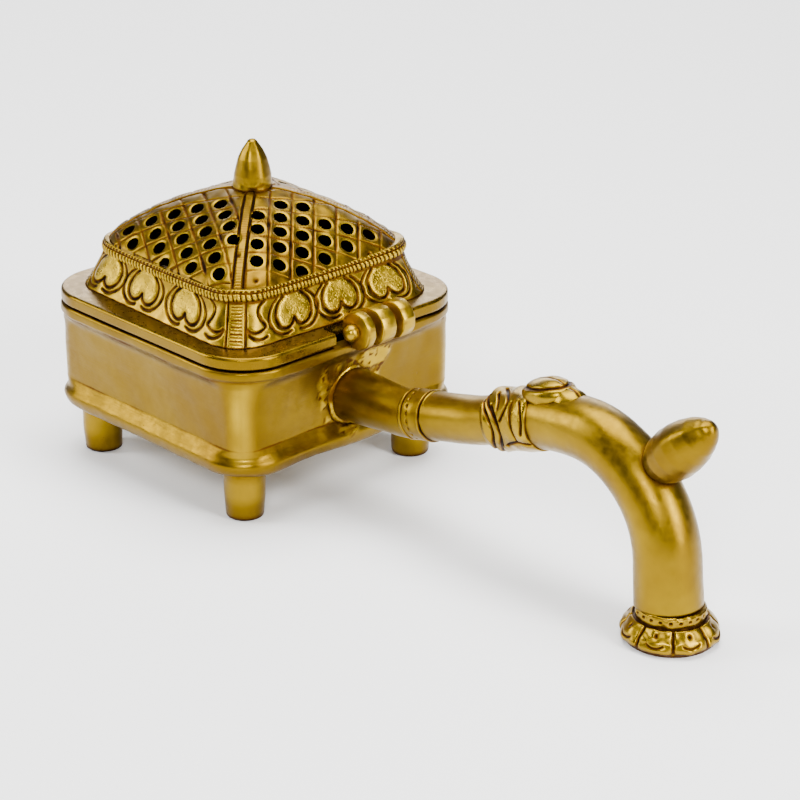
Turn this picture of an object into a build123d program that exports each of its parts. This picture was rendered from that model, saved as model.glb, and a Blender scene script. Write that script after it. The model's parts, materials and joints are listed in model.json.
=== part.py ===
from build123d import *
from math import acos, atan2, cos, degrees, radians, sin
import os

# A square cast-brass incense burner: footed box, hinged pierced lid, and a handle that bends down to
# its own lotus foot. Millimetres. The box stands centred on X = 0 while it is modelled, +X runs along
# the handle, and everything is shifted once, at export, so that the origin is under the middle of the whole.

# Box
rim_half = 51.0             # half width of the box at its rim
rim_top = 54.2
rim_height = 3.8
base_half = 50.2            # half width of the rounded base moulding
base_bottom = 17.6          # underside of the box, where the feet start
base_bulge = 3.6            # rounding of the moulding's underside, up to its widest
base_top = 26.2
wall_foot_half = 46.9       # outside of the wall just above the moulding
wall_thickness = 3.2
floor_thickness = 4.0
box_corner = 0.36           # corner radius as a share of the half width
base_corner = 0.31
wall_foot_corner = 0.16     # the wall turns tighter than the rim and the moulding
wall_neck_corner = 0.22

# Feet
foot_spacing = 36.8         # from each centre plane to a foot's axis
foot_radius = 7.1
foot_toe_radius = 6.5
tenon_radius = 2.6

# Lid
lid_gap = 0.4               # between the rim and the closed lid
flange_half = 50.8
flange_top = 58.9
lid_corner = 0.30
dome_corner = 0.40
crown_turn = -2.0           # degrees: the raised part of the lid was cast slightly askew on its flange
skirt_foot_half = 43.7
skirt_top_half = 38.2
skirt_hollow = 1.35         # exponent of the skirt's hollow curve
rope_half = 38.9
rope_bottom = 73.0
rope_height = 2.5
rope_depth = 4.6            # how far the moulding reaches in under the dome
lid_wall = 1.9
dome_half = 38.2
dome_rise = 19.1
dome_spread = 1.234         # exponents of the dome's profile: how square its shoulder is
dome_swell = 1.668
dome_squareness = 5.5       # exponent of the dome's plan outline
crown_half = 7.4            # flat on top, where the finial sits
vent_diameter = 4.7
finial_radius = 6.6
finial_top = 110.0
finial_shape = ((0.96, 0.29), (0.75, 0.62), (0.42, 0.87))   # shares of its radius and of its height
finial_tenon_radius = 2.2
finial_tenon_length = 4.4

# The vents were marked out by hand, so two patterns alternate round the dome. Each is, on a side that
# faces +X: the place of its corner cell, the step across to the next column, the step along a column,
# and the first and last cell drilled in each column.
vent_patterns = (
    ((6.35, -2.45), (3.35, 6.55), (4.85, -4.15), ((2, 5), (1, 5), (1, 5), (2, 4), (2, 3), (2, 2))),
    ((11.5, -4.8), (4.75, -6.2), (3.05, 6.05), ((1, 4), (1, 6), (1, 5), (1, 4), (1, 2))),
)

# Hinge, on the side above the handle
hinge_x = 52.5
hinge_z = 58.6
hinge_middle = 6.6          # the knuckles stand a little to one side of the handle
knuckle_radius = 6.4
lid_knuckle_length = 6.0
knuckle_gap = 3.0
near_lug_length = 3.6
far_lug_length = 5.2
pin_radius = 2.0
pin_clearance = 0.05
pin_head_radius = 2.8
lid_notch_reach = 6.6       # clear length of the flange notch beyond the near lug
lid_notch_far_clearance = 1.4
relief_clearance = 0.5

# Handle, in the plane Y = 0
root_start = (45.6, 34.8)
root_bend = (72.2, 36.2)
collar_start = (77.7, 37.4)
collar_end = (87.0, 39.5)
front_bend = (105.0, 43.9)
front_end = (120.5, 49.5)   # hidden in the knot
knot_start = (115.0, 47.5)
knot_end = (135.0, 54.1)
elbow_start = (128.0, 52.2) # hidden in the knot
root_radius = 8.9
tube_radius = 7.7
collar_radius = 8.35
collar_rebate = 0.7         # how deep the collar is let into the tubes
knot_radius = 10.2
elbow_crest = (150.0, 55.6)
elbow_bend_radius = 34.0
elbow_rise_angle = 18.0     # the elbow's slope where it leaves the knot
elbow_fall_angle = 86.0     # its slope, downward, where it reaches the lotus
elbow_thin_radius = 9.3
elbow_thick_radius = 10.4
tube_wall = 2.5
leaf_middle = (137.4, 60.9)
leaf_lean = -12
leaf_size = (9.6, 7.0, 6.4)
lotus_x = 186.0
lotus_radius = 15.4
lotus_height = 11.4
lotus_petals = 8
bud_base = (179.0, 53.6)
bud_tip = (198.6, 72.0)
bud_radius = 8.3

overall_low = -rim_half
overall_high = lotus_x + lotus_radius
box_x = -(overall_low + overall_high) / 2


def cushion(half, corner):
    """Square with rounded corners."""
    return RectangleRounded(2 * half, 2 * half, half * corner)


def stack(levels, corner):
    """Solid through rounded squares given as (half width, height), bottom first."""
    return loft([Pos(0, 0, z) * cushion(half, corner) for half, z in levels], ruled=True)


def slab(half, corner, bottom, top, edge):
    """Rounded-square plate with its long edges softened."""
    plate = Pos(0, 0, bottom) * extrude(cushion(half, corner), top - bottom)
    rims = plate.edges().group_by(Axis.Z)
    return fillet(rims[0] + rims[-1], edge)


def at(point, y=0.0):
    """Point of the handle's plane as a vector."""
    return Vector(point[0], y, point[1])


def across(point, direction):
    """Plane square to the handle at a point of its axis."""
    return Plane(origin=at(point), x_dir=(0, 1, 0), z_dir=(direction[0], 0, direction[1]))


def limb(path, radii):
    """Round bar through points of the handle's plane."""
    sections = []
    for i, radius in enumerate(radii):
        before = path[max(i - 1, 0)]
        after = path[min(i + 1, len(path) - 1)]
        sections.append(across(path[i], (after[0] - before[0], after[1] - before[1])) * Circle(radius))
    return loft(sections)


def middle(start, end):
    return ((start[0] + end[0]) / 2, (start[1] + end[1]) / 2)


def barrel(x, z, y_low, y_high, radius):
    """Cylinder along Y."""
    return Pos(x, (y_low + y_high) / 2, z) * Rot(90, 0, 0) * Cylinder(radius, y_high - y_low)


# Stations of the hinge along Y
lid_knuckle_low = hinge_middle - lid_knuckle_length / 2
lid_knuckle_high = hinge_middle + lid_knuckle_length / 2
near_lug_high = lid_knuckle_low - knuckle_gap
near_lug_low = near_lug_high - near_lug_length
far_lug_low = lid_knuckle_high + knuckle_gap
far_lug_high = far_lug_low + far_lug_length


def moulding_levels():
    """Outline of the base moulding: a round bulge that falls back in a hollow curve to the wall."""
    levels = []
    for angle in (-90, -60, -35, -12, 10):
        half = base_half - base_bulge * (1 - cos(radians(angle)))
        levels.append((half, base_bottom + base_bulge * (1 + sin(radians(angle)))))
    start_half, start = levels[-1]
    for share in (0.35, 0.7, 1.0):
        half = start_half + (wall_foot_half + 0.1 - start_half) * share ** 0.8
        levels.append((half, start + (base_top - start) * share))
    return levels


def box_body():
    """Cast box: floor with a rounded moulding, gently flared walls and a proud rim."""
    moulding = stack(moulding_levels(), base_corner)
    neck = rim_top - rim_height
    wall_levels = ((wall_foot_half, base_top - 2, wall_foot_corner), (wall_foot_half + 0.4, 38.0, wall_foot_corner),
                   (48.2, neck - 2.6, wall_neck_corner), (50.0, neck + 0.6, box_corner))
    wall = loft([Pos(0, 0, z) * cushion(half, corner) for half, z, corner in wall_levels], ruled=True)
    rim = slab(rim_half, box_corner, neck, rim_top, 0.9)
    cavity = stack([(wall_foot_half - wall_thickness, base_bottom + floor_thickness),
                    (rim_half - 1.6 * wall_thickness, rim_top + 1)], lid_corner)
    relief = barrel(hinge_x, hinge_z, near_lug_high, far_lug_low, knuckle_radius + relief_clearance)
    body = moulding + wall + rim - cavity - relief
    for tenon in foot_positions():
        body -= Pos(tenon[0], tenon[1], base_bottom) * Cylinder(tenon_radius, 4 * floor_thickness)
    return body


def foot_positions():
    return [(sx * foot_spacing, sy * foot_spacing) for sx in (1, -1) for sy in (-1, 1)]


def foot(x, y):
    """Turned leg, riveted through the floor by its tenon."""
    leg = Pos(x, y, base_bottom / 2) * Cone(foot_toe_radius, foot_radius, base_bottom)
    leg = fillet(leg.edges().sort_by(Axis.Z)[0], 1.2)
    tenon = Pos(x, y, base_bottom + floor_thickness / 2) * Cylinder(tenon_radius, floor_thickness)
    return leg + tenon


def hinge_lug(y_low, y_high, body):
    """Round ear that stands on the rim and holds the pin."""
    ear = barrel(hinge_x, hinge_z, y_low, y_high, knuckle_radius)
    web_depth = 2 * (hinge_x - rim_half + wall_thickness)
    web = Pos(hinge_x - web_depth / 4, (y_low + y_high) / 2, (rim_top + hinge_z) / 2)
    web = web * Box(web_depth / 2, y_high - y_low, hinge_z - rim_top)
    hole = barrel(hinge_x, hinge_z, y_low - 1, y_high + 1, pin_radius)
    return ear + web - hole - body


def hinge_pin():
    """Plain pin with a round head on the near side and a riveted tail."""
    shaft = barrel(hinge_x, hinge_z, near_lug_low - 0.6, far_lug_high + 0.5, pin_radius)
    head = Pos(hinge_x, near_lug_low - 1.6, hinge_z) * Sphere(pin_head_radius)
    keep = Pos(hinge_x, near_lug_low - 10, hinge_z) * Box(20, 20, 20)
    return shaft + (head & keep)


def lid_flange():
    """Flat ring that closes on the rim, notched round the hinge."""
    bottom = rim_top + lid_gap
    ring = slab(flange_half, box_corner, bottom, flange_top, 1.1)
    opening = Pos(0, 0, bottom - 1) * extrude(cushion(skirt_foot_half - lid_wall, lid_corner), 10)
    notch_low = near_lug_low - lid_notch_reach
    notch_high = far_lug_high + lid_notch_far_clearance
    notch_depth = flange_half - skirt_foot_half + 0.4
    notch = Box(2 * notch_depth, notch_high - notch_low, 20)
    notch = fillet(notch.edges().filter_by(Axis.Z), 2.4)
    notch = Pos(flange_half, (notch_low + notch_high) / 2, flange_top) * notch
    return ring - opening - notch


def lid_skirt():
    """Sloping band with a hollow curve, from the flange up to the rope moulding."""
    steps = 4
    outside = []
    for i in range(steps + 1):
        rise = i / steps
        half = skirt_top_half + (skirt_foot_half - skirt_top_half) * (1 - rise) ** skirt_hollow
        outside.append((half, flange_top + (rope_bottom - flange_top) * rise))
    inside = [(half - lid_wall, z) for half, z in outside]
    return Rot(0, 0, crown_turn) * (stack(outside, lid_corner) - stack(inside, lid_corner))


def rope_moulding():
    """Half-round moulding that covers the joint of skirt and dome."""
    ring = slab(rope_half, lid_corner, rope_bottom, rope_bottom + rope_height, 1.1)
    opening = Pos(0, 0, rope_bottom - 1) * extrude(cushion(rope_half - rope_depth, lid_corner), 8)
    return Rot(0, 0, crown_turn) * (ring - opening)


def dome_level(angle):
    """Half width and height of the dome's outside at an angle up its profile."""
    half = dome_half * cos(radians(angle)) ** dome_spread
    return (half, rope_bottom + rope_height + dome_rise * sin(radians(angle)) ** dome_swell)


def dome_point(half):
    """Height of the dome's outside, and its slope angle, at a half width."""
    angle = degrees(acos((half / dome_half) ** (1 / dome_spread)))
    low = dome_level(angle - 1)
    high = dome_level(angle + 1)
    return dome_level(angle)[1], degrees(atan2(high[1] - low[1], low[0] - high[0]))


def vent_centres(pattern):
    """Plan positions of one side's vents, for the side that faces +X."""
    (x, y), across_step, along_step, columns = pattern
    centres = []
    for m, (first, last) in enumerate(columns):
        for n in range(first, last + 1):
            centres.append((x + m * across_step[0] + n * along_step[0], y + m * across_step[1] + n * along_step[1]))
    return centres


def dome_screen():
    """Four-sided dome, pierced in a diagonal lattice; each vent is drilled square to the surface."""
    crown_angle = degrees(acos((crown_half / dome_half) ** (1 / dome_spread)))
    outside = [dome_level(angle) for angle in (0, 12, 24, 36, 48, 60, 71, crown_angle)]
    inside = [(half - lid_wall, z - lid_wall) for half, z in outside]
    inside = [(inside[0][0], inside[0][1] - 1)] + inside
    shell = stack(outside, dome_corner) - stack(inside, dome_corner)
    shell -= Pos(0, 0, outside[-1][1]) * Cylinder(finial_tenon_radius, 4 * lid_wall)
    for side in range(4):
        drills = []
        for x, y in vent_centres(vent_patterns[side % 2]):
            half = (abs(x) ** dome_squareness + abs(y) ** dome_squareness) ** (1 / dome_squareness)
            height, slope = dome_point(half)
            drill = Pos(x, y, height) * Rot(0, slope, 0)
            drills.append(Rot(0, 0, -90 * side) * drill * Cylinder(vent_diameter / 2, 6 * lid_wall))
        shell -= Compound(children=drills)
    return Rot(0, 0, crown_turn) * shell


def finial():
    """Bullet-shaped knob with a tenon that is riveted inside the dome."""
    seat = dome_level(degrees(acos((crown_half / dome_half) ** (1 / dome_spread))))[1]
    outline = Polyline((0, seat), (finial_radius, seat))
    stations = [(finial_radius * width, seat + (finial_top - seat) * rise) for width, rise in finial_shape]
    flank = Spline((finial_radius, seat), *stations, (0, finial_top), tangents=((0, 1), (-1, 0)))
    profile = make_face(outline + flank + Line((0, finial_top), (0, seat)))
    knob = revolve(Plane.XZ * profile, Axis.Z)
    tenon_middle = seat - finial_tenon_length / 2
    return knob + Pos(0, 0, tenon_middle) * Cylinder(finial_tenon_radius, finial_tenon_length)


def lid_knuckle(skirt):
    """Eye that turns on the pin, with a strap back to the skirt and a foot on the flange's edge."""
    eye = barrel(hinge_x, hinge_z, lid_knuckle_low, lid_knuckle_high, knuckle_radius)
    strap_back = skirt_top_half
    strap_top = hinge_z + knuckle_radius
    strap_bottom = rim_top + lid_gap
    strap = Box(hinge_x - strap_back, lid_knuckle_length, strap_top - strap_bottom)
    strap = Pos((hinge_x + strap_back) / 2, hinge_middle, (strap_top + strap_bottom) / 2) * strap
    hollow = stack([(skirt_foot_half - lid_wall, strap_bottom - 1), (skirt_foot_half - lid_wall, flange_top)],
                   lid_corner)
    bore = barrel(hinge_x, hinge_z, lid_knuckle_low - 1, lid_knuckle_high + 1, pin_radius + pin_clearance)
    core = stack([(skirt_foot_half - 0.2, flange_top), (skirt_top_half - 0.1, rope_bottom)], lid_corner)
    core = Rot(0, 0, crown_turn) * core
    return largest(eye + strap - hollow - core - skirt - lid_flange() - bore)


def largest(shape):
    return shape.solids().sort_by(SortBy.VOLUME)[-1]


def root_limb(shrink):
    """Solid of the tube that springs from the box, or of its bore."""
    path = (root_start, root_bend, middle(collar_start, collar_end))
    return limb(path, (root_radius - shrink, tube_radius - shrink, tube_radius - shrink))


def front_limb(shrink):
    """Solid of the tube between collar and knot, or of its bore."""
    path = (middle(collar_start, collar_end), front_bend, front_end)
    return limb(path, [tube_radius - shrink] * 3)


def root_tube(body, collar):
    """Slightly tapered tube between the box wall and the collar."""
    return largest(root_limb(0) - root_limb(tube_wall) - body - collar)


def braze_bead(body, tube):
    """Run of brazing metal round the root of the handle."""
    foot_point = (wall_foot_half + 0.2, root_start[1])
    bead = Pos(foot_point[0], 0, foot_point[1]) * Rot(0, 90, 0) * Torus(root_radius + 0.3, 1.7)
    return largest(bead - body - root_limb(0) - tube)


def front_tube(root, collar):
    """Straight tube from the collar into the knot."""
    return largest(front_limb(0) - front_limb(tube_wall) - root_limb(0) - root - collar)


def handle_collar():
    """Ring let into the joint of the two tubes."""
    direction = (collar_end[0] - collar_start[0], collar_end[1] - collar_start[1])
    length = (direction[0] ** 2 + direction[1] ** 2) ** 0.5
    ring = Circle(collar_radius) - Circle(tube_radius - collar_rebate)
    return extrude(across(collar_start, direction) * ring, length)


def elbow_stations():
    """Points and directions along the elbow's axis: a slow rise, the bend, then the fall to the lotus."""
    rise_turn = elbow_rise_angle
    run = elbow_crest[0] - elbow_start[0]
    rise_radius = run / sin(radians(rise_turn))
    stations = []
    for angle in (rise_turn, 0.5 * rise_turn):
        x = elbow_crest[0] - rise_radius * sin(radians(angle))
        z = elbow_crest[1] - rise_radius * (1 - cos(radians(angle)))
        stations.append(((x, z), angle))
    bends = 6
    for i in range(bends + 1):
        angle = elbow_fall_angle * i / bends
        x = elbow_crest[0] + elbow_bend_radius * sin(radians(angle))
        z = elbow_crest[1] - elbow_bend_radius * (1 - cos(radians(angle)))
        stations.append(((x, z), -angle))
    x, z = stations[-1][0]
    fall = (z - lotus_height) / sin(radians(elbow_fall_angle))
    stations.append(((x + fall * cos(radians(elbow_fall_angle)), lotus_height), -90))
    return stations


def elbow_loft(shrink):
    """Round bar along the elbow's axis, thickening towards the lotus."""
    stations = elbow_stations()
    sections = []
    for i, (point, angle) in enumerate(stations):
        share = i / (len(stations) - 1)
        radius = elbow_thin_radius + (elbow_thick_radius - elbow_thin_radius) * share - shrink
        plane = across(point, (cos(radians(angle)), sin(radians(angle))))
        sections.append(plane * Circle(radius))
    return loft(sections)


def handle_elbow():
    """Cast bend, hollow, from the knot over and down to the lotus."""
    return elbow_loft(0) - elbow_loft(tube_wall)


def knot_sleeve():
    """Swelling over the joint of tube and elbow, carved as a wrapped leaf."""
    direction = (knot_end[0] - knot_start[0], knot_end[1] - knot_start[1])
    swell = ((0.0, 0.93), (0.12, 1.0), (0.32, 0.95), (0.6, 1.0), (0.86, 1.0), (1.0, 0.94))
    sections = []
    for share, factor in swell:
        point = (knot_start[0] + direction[0] * share, knot_start[1] + direction[1] * share)
        sections.append(across(point, direction) * Circle(knot_radius * factor))
    sleeve = loft(sections)
    return largest(sleeve - front_limb(0) - elbow_loft(0))


def leaf_ornament(elbow, knot):
    """Raised oval leaf on top of the elbow, just past the knot."""
    leaf = Pos(leaf_middle[0], 0, leaf_middle[1]) * Rot(0, leaf_lean, 0) * scale(Sphere(1), leaf_size)
    return largest(leaf - elbow_loft(0) - elbow - knot)


def thumb_bud():
    """Pointed bud at the outside of the bend, for the thumb."""
    length = ((bud_tip[0] - bud_base[0]) ** 2 + (bud_tip[1] - bud_base[1]) ** 2) ** 0.5
    flank = Spline((0.72 * bud_radius, 0), (bud_radius, 0.42 * length), (0.62 * bud_radius, 0.82 * length),
                   (0, length), tangents=((0.4, 1), (-1, 0.25)))
    outline = flank + Polyline((0, length), (0, 0), (0.72 * bud_radius, 0))
    bud = revolve(Plane.XZ * make_face(outline), Axis.Z)
    lean = degrees(atan2(bud_tip[0] - bud_base[0], bud_tip[1] - bud_base[1]))
    bud = Pos(bud_base[0], 0, bud_base[1]) * Rot(0, lean, 0) * bud
    return largest(bud - elbow_loft(0))


def lotus_foot():
    """Petalled foot under the elbow, with a spigot up the elbow's bore."""
    waist = elbow_thick_radius + 0.5
    profile = Polyline((0, 0), (lotus_radius - 1.6, 0), (lotus_radius, 1.8), (lotus_radius - 0.9, 4.6),
                       (waist + 0.6, 7.9), (waist, 8.3), (waist, lotus_height), (0, lotus_height), (0, 0))
    body = Pos(lotus_x, 0, 0) * revolve(Plane.XZ * make_face(profile), Axis.Z)
    for i in range(lotus_petals):
        groove = Pos(lotus_radius + 0.5, 0, 3) * Box(2.2, 0.9, 7)
        body -= Pos(lotus_x, 0, 0) * Rot(0, 0, (i + 0.5) * 360 / lotus_petals) * groove
    elbow_end = elbow_stations()[-1][0]
    spigot = Pos(elbow_end[0], 0, lotus_height) * Cylinder(elbow_thick_radius - tube_wall - 0.3, 8)
    return body + (spigot - elbow_loft(0) + (spigot & elbow_loft(tube_wall)))


def build():
    """Every piece of the burner, by name."""
    body = box_body()
    skirt = lid_skirt()
    pieces = {"box_body": body}
    for (x, y), name in zip(foot_positions(), ("front_left", "front_right", "back_left", "back_right")):
        pieces["foot_" + name] = foot(x, y)
    pieces["hinge_lug_near"] = hinge_lug(near_lug_low, near_lug_high, body)
    pieces["hinge_lug_far"] = hinge_lug(far_lug_low, far_lug_high, body)
    pieces["hinge_pin"] = hinge_pin()
    pieces["lid_flange"] = lid_flange()
    pieces["lid_skirt"] = skirt
    pieces["rope_moulding"] = rope_moulding()
    pieces["dome_screen"] = dome_screen()
    pieces["finial"] = finial()
    pieces["lid_knuckle"] = lid_knuckle(skirt)
    collar = handle_collar()
    root = root_tube(body, collar)
    pieces["handle_root_tube"] = root
    pieces["braze_bead"] = braze_bead(body, root)
    pieces["handle_front_tube"] = front_tube(root, collar)
    pieces["handle_collar"] = collar
    elbow = handle_elbow()
    knot = knot_sleeve()
    pieces["handle_elbow"] = elbow
    pieces["knot_sleeve"] = knot
    pieces["leaf_ornament"] = leaf_ornament(elbow, knot)
    pieces["thumb_bud"] = thumb_bud()
    pieces["lotus_foot"] = lotus_foot()
    return pieces


os.makedirs("parts", exist_ok=True)
for name, piece in build().items():
    export_step(Pos(box_x, 0, 0) * piece, "parts/" + name + ".step")
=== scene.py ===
import json
import math

import bpy
import numpy as np
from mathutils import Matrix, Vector


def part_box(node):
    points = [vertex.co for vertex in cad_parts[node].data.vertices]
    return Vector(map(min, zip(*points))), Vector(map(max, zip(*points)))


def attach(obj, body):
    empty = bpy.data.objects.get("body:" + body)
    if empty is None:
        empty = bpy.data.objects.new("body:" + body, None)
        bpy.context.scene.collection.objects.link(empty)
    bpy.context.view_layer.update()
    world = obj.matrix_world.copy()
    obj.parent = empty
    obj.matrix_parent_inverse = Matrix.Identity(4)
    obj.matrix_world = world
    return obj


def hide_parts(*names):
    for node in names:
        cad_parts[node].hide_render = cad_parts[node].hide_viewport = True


# Cast-brass incense burner. Shapes are worked out in millimetres round the middle of the box, with
# Z up from the floor, and placed in the frame when a mesh is made.

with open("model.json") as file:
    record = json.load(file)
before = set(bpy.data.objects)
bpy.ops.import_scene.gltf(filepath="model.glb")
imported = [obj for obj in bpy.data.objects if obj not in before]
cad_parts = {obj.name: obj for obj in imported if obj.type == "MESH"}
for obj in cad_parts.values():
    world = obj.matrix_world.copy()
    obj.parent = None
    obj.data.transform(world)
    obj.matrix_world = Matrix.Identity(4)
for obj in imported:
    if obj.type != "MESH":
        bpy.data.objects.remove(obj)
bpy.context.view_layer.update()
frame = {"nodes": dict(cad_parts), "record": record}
MM = 0.001


def extent(node):
    """Lowest and highest corner of a CAD node in millimetres round the middle of the box."""
    low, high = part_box(node)
    shift = np.array([box_centre, 0, 0])
    return np.array(low) / MM - shift, np.array(high) / MM - shift


box_low, box_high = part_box("box_body")
box_centre = (box_low.x + box_high.x) / 2 / MM
rim_half = extent("box_body")[1][0]
rim_above_legs = 32.6
rim_top = extent("foot_front_left")[1][2] + rim_above_legs
rim_height = 3.8
base_half = rim_half - 0.8
base_bottom = extent("box_body")[0][2]
base_top = base_bottom + 8.6
wall_half = rim_half - 4.1
box_corner = 0.36
base_corner = 0.31
wall_foot_corner = 0.16
wall_neck_corner = 0.22

lid_corner = 0.30
dome_corner = 0.40
flange_top = extent("lid_flange")[1][2]
crown_turn = -2.0
rope_top = extent("rope_moulding")[1][2]
skirt_top = rope_top - 2.5
skirt_foot_half = rim_half - 7.3
skirt_top_half = rim_half - 12.8
skirt_hollow = 1.35
dome_half = 38.2
dome_rise = 19.1
dome_spread = 1.234
dome_swell = 1.668
crown_half = 7.4
lid_wall = 1.9

vent_radius = 2.35
vent_patterns = (
    ((6.35, -2.45), (3.35, 6.55), (4.85, -4.15), ((2, 5), (1, 5), (1, 5), (2, 4), (2, 3), (2, 2))),
    ((11.5, -4.8), (4.75, -6.2), (3.05, 6.05), ((1, 4), (1, 6), (1, 5), (1, 4), (1, 2))),
)
vent_dimples = (((0, 6), (5, 3), (6, 2)), ((0, 5),))

root_start = (45.6, 34.8)
root_bend = (72.2, 36.2)
collar_start = (77.7, 37.4)
collar_end = (87.0, 39.5)
front_bend = (105.0, 43.9)
front_end = (120.5, 49.5)
knot_start = (115.0, 47.5)
knot_end = (135.0, 54.1)
knot_radius = 10.2
elbow_start = (128.0, 52.2)
elbow_crest = (150.0, 55.6)
elbow_bend_radius = 34.0
elbow_rise_angle = 18.0
elbow_fall_angle = 86.0
elbow_thin = 9.3
elbow_thick = 10.4
tube_radius = 7.7
root_radius = 8.9
lotus_axis = (extent("lotus_foot")[0][0] + extent("lotus_foot")[1][0]) / 2
lotus_radius = (extent("lotus_foot")[1][0] - extent("lotus_foot")[0][0]) / 2
lotus_height = extent("handle_elbow")[0][2]

hinge_middle = (extent("lid_knuckle")[0][1] + extent("lid_knuckle")[1][1]) / 2
hinge_x = 52.5
hinge_z = (extent("hinge_lug_near")[1][2] + extent("hinge_lug_near")[0][2]) / 2
knuckle_room_half = 6.0      # cut in the rim, for the lid's eye to turn in
knuckle_room_radius = 6.9

camera_azimuth = 47.17
camera_elevation = 22.82
camera_distance = 0.918
camera_target = (51.0, 40.8)


# Numbers and curves


def smooth(low, high, value):
    """0 below low, 1 above high, and eased between."""
    share = np.clip((np.asarray(value, float) - low) / (high - low), 0, 1)
    return share * share * (3 - 2 * share)


def bell(value, middle, width):
    """1 at the middle, falling away smoothly over that width."""
    return np.exp(-(((value - middle) / width) ** 2))


def lumps(points, size, seed):
    """Soft random unevenness of about -1 to 1, with features of that size."""
    random = np.random.default_rng(seed)
    total = np.zeros(points.shape[:-1])
    waves = 9
    for _ in range(waves):
        direction = random.normal(size=3)
        direction *= random.uniform(0.7, 1.5) / np.linalg.norm(direction)
        total += np.cos(points @ direction * (2 * math.pi / (1.6 * size)) + random.uniform(0, 2 * math.pi))
    return total / math.sqrt(waves / 2)


def curve_through(points, steps=10):
    """Smooth line through a few points."""
    p = np.array(points, float)
    p = np.vstack([2 * p[0] - p[1], p, 2 * p[-1] - p[-2]])
    t = np.linspace(0, 1, steps, endpoint=False)[:, None]
    spans = []
    for a, b, c, d in zip(p[:-3], p[1:-2], p[2:-1], p[3:]):
        spans.append(0.5 * (2 * b + (c - a) * t + (2 * a - 5 * b + 4 * c - d) * t**2
                            + (3 * b - a - 3 * c + d) * t**3))
    return np.vstack(spans + [p[-2:-1]])


def line_distance(places, line):
    """Distance of each 2-D place from a line, out to a little way; far places stay far."""
    reach = 3.0
    best = np.full(places.shape[:-1], 1e3)
    low = line.min(0) - reach
    high = line.max(0) + reach
    near = ((places > low) & (places < high)).all(-1)
    chosen = places[near]
    found = np.full(len(chosen), 1e3)
    for a, b in zip(line[:-1], line[1:]):
        ab = b - a
        share = np.clip(((chosen - a) @ ab) / max(ab @ ab, 1e-9), 0, 1)
        gap = chosen - a - share[:, None] * ab
        found = np.minimum(found, np.hypot(gap[:, 0], gap[:, 1]))
    best[near] = found
    return best


def inside(places, line):
    """Whether each 2-D place lies inside a closed line."""
    x = places[..., 0]
    y = places[..., 1]
    result = np.zeros(places.shape[:-1], bool)
    for (ax, ay), (bx, by) in zip(line, np.roll(line, -1, 0)):
        crosses = (ay > y) != (by > y)
        if ay != by:
            result ^= crosses & (x < (bx - ax) * (y - ay) / (by - ay) + ax)
    return result


def softened(corners, step):
    """Points along a path of (x, z, rounding) corners, no further apart than step."""
    p = np.array([c[:2] for c in corners], float)
    path = [p[0]]
    for i in range(1, len(p) - 1):
        radius = corners[i][2]
        back = p[i - 1] - p[i]
        ahead = p[i + 1] - p[i]
        back_length = np.linalg.norm(back)
        ahead_length = np.linalg.norm(ahead)
        back = back / back_length
        ahead = ahead / ahead_length
        turn = math.pi - math.acos(np.clip(back @ ahead, -1, 1))
        cut = min(radius * math.tan(turn / 2), 0.49 * back_length, 0.49 * ahead_length)
        if cut < 1e-6:
            path.append(p[i])
            continue
        start = p[i] + back * cut
        end = p[i] + ahead * cut
        for t in np.linspace(0, 1, max(3, int(turn * radius / step) + 2)):
            path.append((1 - t) ** 2 * start + 2 * t * (1 - t) * p[i] + t**2 * end)
    path.append(p[-1])
    dense = [path[0]]
    for a, b in zip(path[:-1], path[1:]):
        pieces = max(1, int(math.ceil(np.linalg.norm(b - a) / step)))
        for k in range(1, pieces + 1):
            dense.append(a + (b - a) * k / pieces)
    return np.array(dense)


# Meshes


def make_object(name, points, faces, body, slot, nodes, layers, finish=None):
    """Mesh object from points in box millimetres, riding on its body, with its slot's finish unless told."""
    mesh = bpy.data.meshes.new(name)
    placed = (np.asarray(points) + np.array([box_centre, 0, 0])) * MM
    mesh.from_pydata(placed.tolist(), [], faces)
    mesh.update()
    mesh.polygons.foreach_set("use_smooth", np.ones(len(mesh.polygons), bool))
    for layer in ("patina", "polish", "heat"):
        values = layers.get(layer, np.zeros(len(placed)))
        attribute = mesh.attributes.new(layer, "FLOAT", "POINT")
        attribute.data.foreach_set("value", np.clip(values, 0, 1).astype(np.float32))
    mesh.materials.append(materials[finish or slot])
    piece = bpy.data.objects.new(name, mesh)
    bpy.context.scene.collection.objects.link(piece)
    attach(piece, body)
    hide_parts(*nodes)
    return piece


def grid_faces(rows, columns, wrap, start=0):
    """Quads of a grid of points, row by row."""
    across = columns if wrap else columns - 1
    i, j = np.meshgrid(np.arange(rows - 1), np.arange(across), indexing="ij")
    right = (j + 1) % columns
    quads = np.stack([i * columns + j, i * columns + right,
                      (i + 1) * columns + right, (i + 1) * columns + j], -1)
    return (quads.reshape(-1, 4) + start).tolist()


def grid_normals(points, wrap=True):
    """Outward direction at each point of a grid."""
    if wrap:
        across = np.roll(points, -1, 1) - np.roll(points, 1, 1)
    else:
        across = np.gradient(points, axis=1)
    up = np.gradient(points, axis=0)
    normals = np.cross(across, up)
    return normals / np.maximum(np.linalg.norm(normals, axis=-1, keepdims=True), 1e-9)


def closed_grid(name, points, body, slot, nodes, layers, caps=(False, False), finish=None):
    """A grid that wraps round, with its end rings filled if asked."""
    rows, columns = points.shape[:2]
    faces = grid_faces(rows, columns, True)
    if caps[0]:
        faces.append(list(range(columns))[::-1])
    if caps[1]:
        faces.append(list(range((rows - 1) * columns, rows * columns)))
    flat = {k: np.broadcast_to(v, (rows, columns)).reshape(-1) for k, v in layers.items()}
    return make_object(name, points.reshape(-1, 3), faces, body, slot, nodes, flat, finish)


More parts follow.
